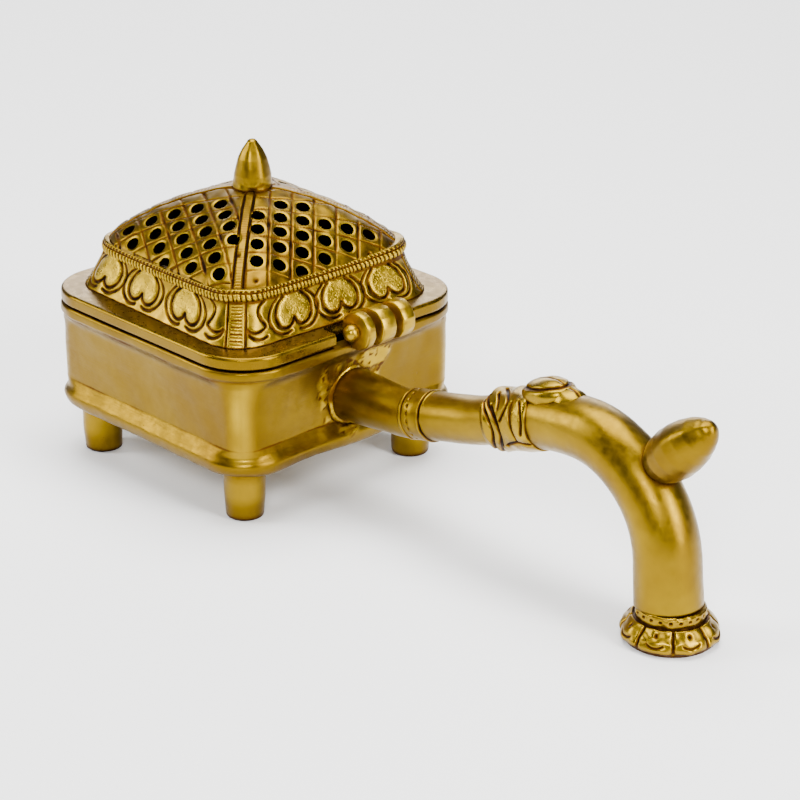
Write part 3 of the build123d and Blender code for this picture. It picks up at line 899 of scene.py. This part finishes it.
def build_knot():
    """Swelling over the joint of tube and elbow, carved as wrapped leaves."""
    length = math.dist(knot_start, knot_end)
    run = np.linspace(-0.6, length + 0.6, 110)
    path = straight(knot_start, knot_end, run)
    share = run / length
    swell = np.interp(share, [-0.03, 0.0, 0.04, 0.12, 0.2, 0.32, 0.6, 0.86, 0.97, 1.0, 1.03],
                      [0.76, 0.88, 0.96, 1.0, 0.97, 0.95, 0.99, 0.99, 0.97, 0.93, 0.88])
    points, spokes, angle = swept(path, knot_radius * swell, 160)
    degrees_round = np.degrees(angle)
    places = np.stack(np.broadcast_arrays(run[:, None], (angle * knot_radius)[None, :]), -1)
    groove = np.zeros(places.shape[:2])
    for line in knot_lines():
        groove = np.maximum(groove, smooth(0.75, 0.15, line_distance(places, line)))
    leaf = smooth(14.5, 16.0, places[..., 0]) * smooth(20.8, 19.4, places[..., 0])
    leaf = leaf * smooth(32, 48, degrees_round)[None, :] * smooth(122, 108, degrees_round)[None, :]
    relief = -0.75 * groove + 0.45 * leaf + 0.10 * lumps(points, 4, 91)
    points = points + spokes * relief[..., None]
    closed_grid("knot_leaves", points, "burner", "carved_brass", ["knot_sleeve"],
                {"patina": groove, "polish": 0.5 * leaf}, caps=(True, True))


# Edges of the leaves wrapped round the sleeve. Each goes round from one angle to another (degrees from
# the top towards -Y), and swells along the sleeve from its base to its crest (millimetres).
leaf_edges = (
    # first, last, base, crest, angle of the crest, spread
    (-60, 170, 0.0, 5.5, 94, 44),
    (-20, 190, 0.5, 8.4, 98, 52),
    (-10, 78, 1.0, 11.9, 50, 54),
    (21, 57, 1.0, 8.2, 62, 58),
    (50, 132, 1.0, 8.7, 96, 57),
    (45, 102, 10.0, 19.2, 78, 68),
    (47, 116, 13.8, 14.6, 116, 40),
    (-20, 170, 20.0, 21.2, 64, 35),
)
belly_ends = (8.3, 18.9)
belly_middle = 14.3
belly_angle = 120.5
belly_bow = 0.33


def knot_lines():
    """Carved lines of the sleeve: its leaf edges, and the belly line that joins them below."""
    lines = []
    for first, last, base, crest, middle, spread in leaf_edges:
        round_it = np.linspace(first, last, 60)
        along = base + (crest - base) * bell(round_it, middle, spread)
        lines.append(np.stack([along, np.radians(round_it) * knot_radius], -1))
    along = np.linspace(*belly_ends, 30)
    round_it = belly_angle + belly_bow * (along - belly_middle) ** 2
    lines.append(np.stack([along, np.radians(round_it) * knot_radius], -1))
    return lines


def build_collar():
    """Ring over the joint of the two tubes: two grooves with a row of punched dashes between them."""
    length = math.dist(collar_start, collar_end)
    run = np.linspace(-0.5, length + 0.5, 60)
    path = straight(collar_start, collar_end, run)
    radii = np.interp(run, [-0.5, 0.3, 1.2, length - 1.4, length - 0.9, length - 0.2, length + 0.5],
                      [7.9, 8.3, 8.15, 8.05, 8.4, 8.3, 7.7])
    points, spokes, angle = swept(path, radii, 140)
    slant = 1.1 * np.sin(angle - 0.5)[None, :]
    first = smooth(0.5, 0.1, np.abs(run[:, None] - 0.9 - slant * 0.5))
    second = smooth(0.55, 0.1, np.abs(run[:, None] - length + 0.4 - slant * 0.3))
    dash = bell(run[:, None] - slant * 0.6, 3.2, 0.36) * smooth(0.35, 0.75, np.cos(angle * 20))[None, :]
    groove = np.maximum(np.maximum(first, second), dash)
    points = points + spokes * (-0.45 * groove + 0.04 * lumps(points, 4, 95))[..., None]
    polish = bell(run, length - 0.9, 0.5)[:, None] + 0 * angle
    closed_grid("collar_ring", points, "burner", "carved_brass", ["handle_collar"],
                {"patina": groove, "polish": 0.5 * polish}, caps=(True, True), finish="handle_brass")


def build_ornament():
    """Oval leaf on top of the elbow, with an engraved rim, and a smaller one behind it."""
    centre = np.array([134.8, 0, 62.4])
    tip = math.radians(14)
    theta = np.linspace(0, math.pi, 60)
    phi = np.linspace(0, 2 * math.pi, 96, endpoint=False)
    axes = np.array([9.4, 7.2, 4.9])
    tail_centre = centre + np.array([8.2, 0, -0.9])
    tail_axes = axes * np.array([0.72, 0.75, 1.0])
    for name, middle, size, lean, engraved in (("ornament_leaf", centre, axes, tip, 1),
                                               ("ornament_tail", tail_centre, tail_axes, -0.1, 0)):
        x = size[0] * np.sin(theta)[:, None] * np.cos(phi)
        y = size[1] * np.sin(theta)[:, None] * np.sin(phi)
        z = size[2] * np.cos(theta)[:, None] + 0 * phi
        rim = np.sin(theta)[:, None] + 0 * phi
        ring = engraved * bell(rim, 0.84, 0.05) * (z > 0)
        vein = bell(y, 0, 0.45) * (rim < 0.76) * (z > 0)
        scale = 1 - 0.09 * ring - 0.05 * vein
        local = np.stack([x, y, z], -1) * scale[..., None]
        cosine = math.cos(lean)
        sine = math.sin(lean)
        spin = np.array([[cosine, 0, -sine], [0, 1, 0], [sine, 0, cosine]])
        points = local @ spin.T + middle
        points += 0.06 * lumps(points, 3, 97)[..., None]
        closed_grid(name, points, "burner", "carved_brass", ["leaf_ornament"],
                    {"patina": np.maximum(ring, 0.6 * vein)}, caps=(False, False))


def build_bud():
    """Pointed bud at the outside of the bend."""
    base = np.array([179.0, 53.6])
    tip = np.array([198.6, 72.0])
    length = np.linalg.norm(tip - base)
    share = np.linspace(0, 1, 80)
    path = base + (tip - base) * share[:, None]
    shape = np.interp(share, [0, 0.15, 0.3, 0.45, 0.6, 0.75, 0.87, 0.94, 0.98, 1.0],
                      [0.74, 0.93, 1.0, 0.98, 0.90, 0.74, 0.53, 0.36, 0.20, 0.03])
    points, spokes, angle = swept(path, 8.3 * shape, 96)
    ridge = 0.35 * bell(np.degrees(angle), 62, 16)[None, :] * smooth(0.25, 0.6, share)[:, None]
    relief = ridge + 0.08 * lumps(points, 7, 99) - 0.15
    points = points + spokes * (relief * smooth(1, 0.9, share)[:, None])[..., None]
    axis = elbow_path()
    offset = points[:, :, None, [0, 2]] - axis[None, None]
    reach = np.sqrt(offset[..., 0] ** 2 + offset[..., 1] ** 2 + points[..., 1][:, :, None] ** 2).min(-1)
    patina = 0.55 * smooth(elbow_thick + 1.0, elbow_thick - 0.2, reach)
    closed_grid("bud", points, "burner", "handle_brass", ["thumb_bud"],
                {"patina": patina}, caps=(True, True))


def build_lotus():
    """Petalled foot with a beaded waist."""
    waist = elbow_thick + 0.5
    profile = softened([
        (0.4, 0, 0), (lotus_radius - 2.0, 0, 1.2), (lotus_radius, 2.2, 2.5), (lotus_radius - 1.0, 4.8, 2),
        (waist + 0.7, 7.9, 0.4), (waist + 0.1, 8.2, 0.2), (waist + 0.25, 9.8, 1.2),
        (waist - 0.1, lotus_height - 0.3, 0.6), (elbow_thick - 0.4, lotus_height + 0.2, 0.3),
        (elbow_thick - 3, lotus_height + 0.2, 0),
    ], 0.25)
    points, angle = revolved(profile, 240, (lotus_axis, 0))
    normals = grid_normals(points)
    z = points[..., 2]
    petals = 8
    phase = (angle / (2 * math.pi) * petals) % 1
    off_edge = np.minimum(phase, 1 - phase) * 2 * math.pi * lotus_radius / petals
    below = smooth(8.2, 7.6, z) * smooth(0.8, 1.8, z)
    split = smooth(0.75, 0.15, off_edge)[None, :] * below
    middle = (phase - 0.5) * 2 * math.pi * lotus_radius / petals
    dot = bell(middle, 0, 0.75)[None, :] * bell(z, 6.4, 0.6) * below
    crescent_z = 3.3 + 0.11 * middle**2
    crescent = smooth(0.6, 0.1, np.abs(z - crescent_z[None, :])) * below
    crescent = crescent * smooth(3.3, 2.6, np.abs(middle))[None, :]
    lower = 0.8 * smooth(0.22, 0.05, np.abs(z - 8.15))
    upper = 0.4 * smooth(0.3, 0.05, np.abs(z - (lotus_height - 0.3)))
    bead = bell(z, 9.7, 0.5) * smooth(0.2, 0.7, np.cos(angle * 22))[None, :]
    groove = np.clip(split + dot + 0.8 * crescent + lower + upper + bead, 0, 1)
    plump = 0.5 * np.sin(math.pi * phase)[None, :] * below
    relief = plump - 0.45 - 0.55 * groove + 0.1 * lumps(points, 3, 101)
    relief *= smooth(0, 1.2, z)
    points = points + normals * relief[..., None]
    low, high = extent("lotus_foot")
    points[..., 2] = np.maximum(points[..., 2], low[2])
    closed_grid("lotus_petals", points, "burner", "carved_brass", ["lotus_foot"],
                {"patina": groove}, caps=(True, True))


def build_bead():
    """Brazing metal run round the root of the handle."""
    theta = np.linspace(0, 2 * math.pi, 200, endpoint=False)
    phi = np.linspace(0, 2 * math.pi, 28)
    thickness = 1.25
    ring = root_radius + thickness * np.cos(phi)[:, None] + 0 * theta
    x = wall_half + 0.2 + thickness * np.sin(phi)[:, None] + 0 * theta
    points = np.stack([x, -ring * np.sin(theta), root_start[1] + ring * np.cos(theta)], -1)
    outward = np.stack([np.sin(phi)[:, None] + 0 * theta, -np.cos(phi)[:, None] * np.sin(theta),
                        np.cos(phi)[:, None] * np.cos(theta)], -1)
    relief = 0.16 * lumps(points, 5, 111) + 0.05 * lumps(points, 1.4, 113)
    points = points + outward * relief[..., None]
    darkening = 0.22 + 0.2 * lumps(points, 5, 112)
    closed_grid("braze_run", points, "burner", "braze_metal", ["braze_bead"],
                {"patina": darkening, "polish": 0.5 - darkening})


def tube_path():
    """Axis of the two tubes, from inside the wall to inside the knot."""
    collar_middle = ((collar_start[0] + collar_end[0]) / 2, (collar_start[1] + collar_end[1]) / 2)
    return curve_through([root_start, root_bend, collar_middle, front_bend, front_end], 40), 80


def build_tubes():
    """Root tube and plain front tube, both with painted shade along their tops; the root tube also has a
    painted shadow along its top by the wall, and orange painted bounce light over a brazing tint near the wall.
    """
    path, joint = tube_path()
    for name, node, piece in (("root_tube", "handle_root_tube", path[: joint + 1]),
                              ("front_tube", "handle_front_tube", path[joint:])):
        off_wall = piece[:, 0] - wall_half
        radii = tube_radius + (root_radius - tube_radius) * smooth(25, 0, off_wall)
        points, spokes, angle = swept(piece, radii, 120)
        relief = 0.08 * lumps(points, 15, 120) + 0.012 * lumps(points, 4, 121)
        points = points + spokes * relief[..., None]
        # orange near the wall: painted bounce light from the box wall over a brazing tint
        heat = smooth(34, 6, off_wall)[:, None] * (0.85 + 0.10 * lumps(points, 8, 124))
        # painted shadow along the top of the root tube beside the wall, and painted shade along the tops of
        # both tubes
        top = smooth(0.25, 0.85, np.cos(angle - 0.2))[None, :]
        painted_wall_shadow = top * smooth(13, 4, off_wall)[:, None] * (0.22 + 0.10 * lumps(points, 6, 122))
        painted_top_shade = 0.13 * top * smooth(8, 30, off_wall)[:, None] * (1 + 0.3 * lumps(points, 14, 123))
        darkening = np.maximum(painted_wall_shadow, painted_top_shade)
        closed_grid(name, points, "burner", "handle_brass", [node],
                    {"patina": darkening, "heat": heat}, caps=(True, True))


def build_knuckles():
    """Hinge eyes, each filed to rough facets; the lid's has a low strap back to the skirt."""
    angle = np.linspace(0, 2 * math.pi, 180, endpoint=False)
    facets = 11
    spread = math.pi / facets
    radius = (extent("hinge_lug_near")[1][0] - hinge_x) - 0.05
    strap_reach = 11.0
    strap_rise = 2.4
    strap_drop = hinge_z - rim_top - 0.5
    for number, node in enumerate(("hinge_lug_near", "lid_knuckle", "hinge_lug_far")):
        offset = (angle + 0.2 * number) % (2 * spread) - spread
        outline = 0.45 * radius * math.cos(spread) / np.cos(offset) + 0.55 * radius
        if node == "lid_knuckle":
            back = np.maximum(-np.sin(angle), 1e-6)
            rise = np.maximum(np.cos(angle), 1e-6)
            drop = np.maximum(-np.cos(angle), 1e-6)
            strap = np.minimum(strap_reach / back, np.minimum(strap_rise / rise, strap_drop / drop))
            outline = np.where(np.sin(angle) < 0, np.maximum(outline, strap), outline)
        low, high = extent(node)
        bevel = 0.4
        rings = ((low[1], bevel), (low[1] + 0.5 * bevel, 0.3 * bevel), (low[1] + bevel, 0),
                 (high[1] - bevel, 0), (high[1] - 0.5 * bevel, 0.3 * bevel), (high[1], bevel))
        rows = []
        for y, inset in rings:
            reach = outline - inset
            x = hinge_x + reach * np.sin(angle)
            z = hinge_z + reach * np.cos(angle)
            rows.append(np.stack([x, 0 * angle + y, z], -1))
        points = np.clip(np.stack(rows), low, high)
        body = "lid" if node == "lid_knuckle" else "burner"
        edge = np.array([0.0, 0.5, 0.6, 0.6, 0.5, 0.0])[:, None] + 0 * angle
        dark_amount = 0.25 * smooth(0.4, 1.2, lumps(points, 3, 130 + number))
        closed_grid(node + "_eye", points, body, "hinge_brass", [node],
                    {"patina": dark_amount, "polish": edge}, caps=(True, True))


def dress_frame_nodes():
    """Finish for the CAD nodes that stay."""
    for material in frame["record"]["materials"]:
        slot_name = material["slot"]
        for node in frame["nodes"].values():
            names = [m.name for m in node.data.materials if m]
            if any(name.split(".")[0] == slot_name for name in names):
                for index in range(len(node.data.materials)):
                    node.data.materials[index] = materials[slot_name]


# Stage


def aimed(name, data, place, target):
    """Light or camera at a place, looking at a target."""
    item = bpy.data.objects.new(name, data)
    item.location = place
    item.rotation_mode = "QUATERNION"
    item.rotation_quaternion = (Vector(target) - Vector(place)).to_track_quat("-Z", "Y")
    bpy.context.scene.collection.objects.link(item)
    return item


def area_light(name, place, size, power, colour=(1, 1, 1)):
    """Soft light on the middle of the object."""
    data = bpy.data.lights.new(name, "AREA")
    data.shape = "RECTANGLE"
    data.size = size[0]
    data.size_y = size[1]
    data.energy = power
    data.color = colour
    aimed(name, data, place, (0, 0, 0.05))


def build_stage():
    """Pale floor, soft lights and the camera."""
    bpy.ops.mesh.primitive_plane_add(size=8, location=(0, 0, 0))
    floor = bpy.context.object
    floor.name = "floor"
    pale = bpy.data.materials.new("pale_floor")
    pale.use_nodes = True
    shader = pale.node_tree.nodes["Principled BSDF"]
    shader.inputs["Base Color"].default_value = (0.95, 0.95, 0.95, 1)
    shader.inputs["Roughness"].default_value = 0.9
    shader.inputs["Specular IOR Level"].default_value = 0.1
    floor.data.materials.append(pale)

    world = bpy.data.worlds.new("studio")
    world.use_nodes = True
    world.node_tree.nodes["Background"].inputs["Color"].default_value = (1, 1, 1, 1)
    world.node_tree.nodes["Background"].inputs["Strength"].default_value = 0.16
    bpy.context.scene.world = world

    area_light("overhead", (-0.1, 0.1, 1.1), (0.9, 0.9), 30)
    area_light("left_softbox", (-0.75, -0.75, 0.55), (0.4, 0.7), 12)
    area_light("right_softbox", (0.95, 0.15, 0.5), (0.3, 0.8), 18, (1, 0.99, 0.97))
    area_light("back_softbox", (-0.85, 0.8, 0.42), (1.0, 0.4), 9)
    area_light("front_fill", (0.75, -0.85, 0.75), (0.3, 0.3), 13)

    azimuth = math.radians(camera_azimuth)
    elevation = math.radians(camera_elevation)
    back = Vector((math.sin(azimuth) * math.cos(elevation), -math.cos(azimuth) * math.cos(elevation),
                   math.sin(elevation)))
    target = Vector(((box_centre + camera_target[0]) * MM, 0, camera_target[1] * MM))
    data = bpy.data.cameras.new("camera")
    data.sensor_width = 36
    data.lens = 128.35
    data.shift_x = 0.0514
    data.shift_y = -0.0256
    bpy.context.scene.camera = aimed("camera", data, target + back * camera_distance, target)



build_box()
build_feet()
build_skirt()
build_rope()
dome_skin("dome_outside", 0.0, 210, 104, True)
dome_skin("dome_inside", lid_wall, 120, 60, False)
build_finial()
build_elbow()
build_knot()
build_collar()
build_ornament()
build_bud()
build_lotus()
build_bead()
build_tubes()
build_knuckles()
dress_frame_nodes()
build_stage()
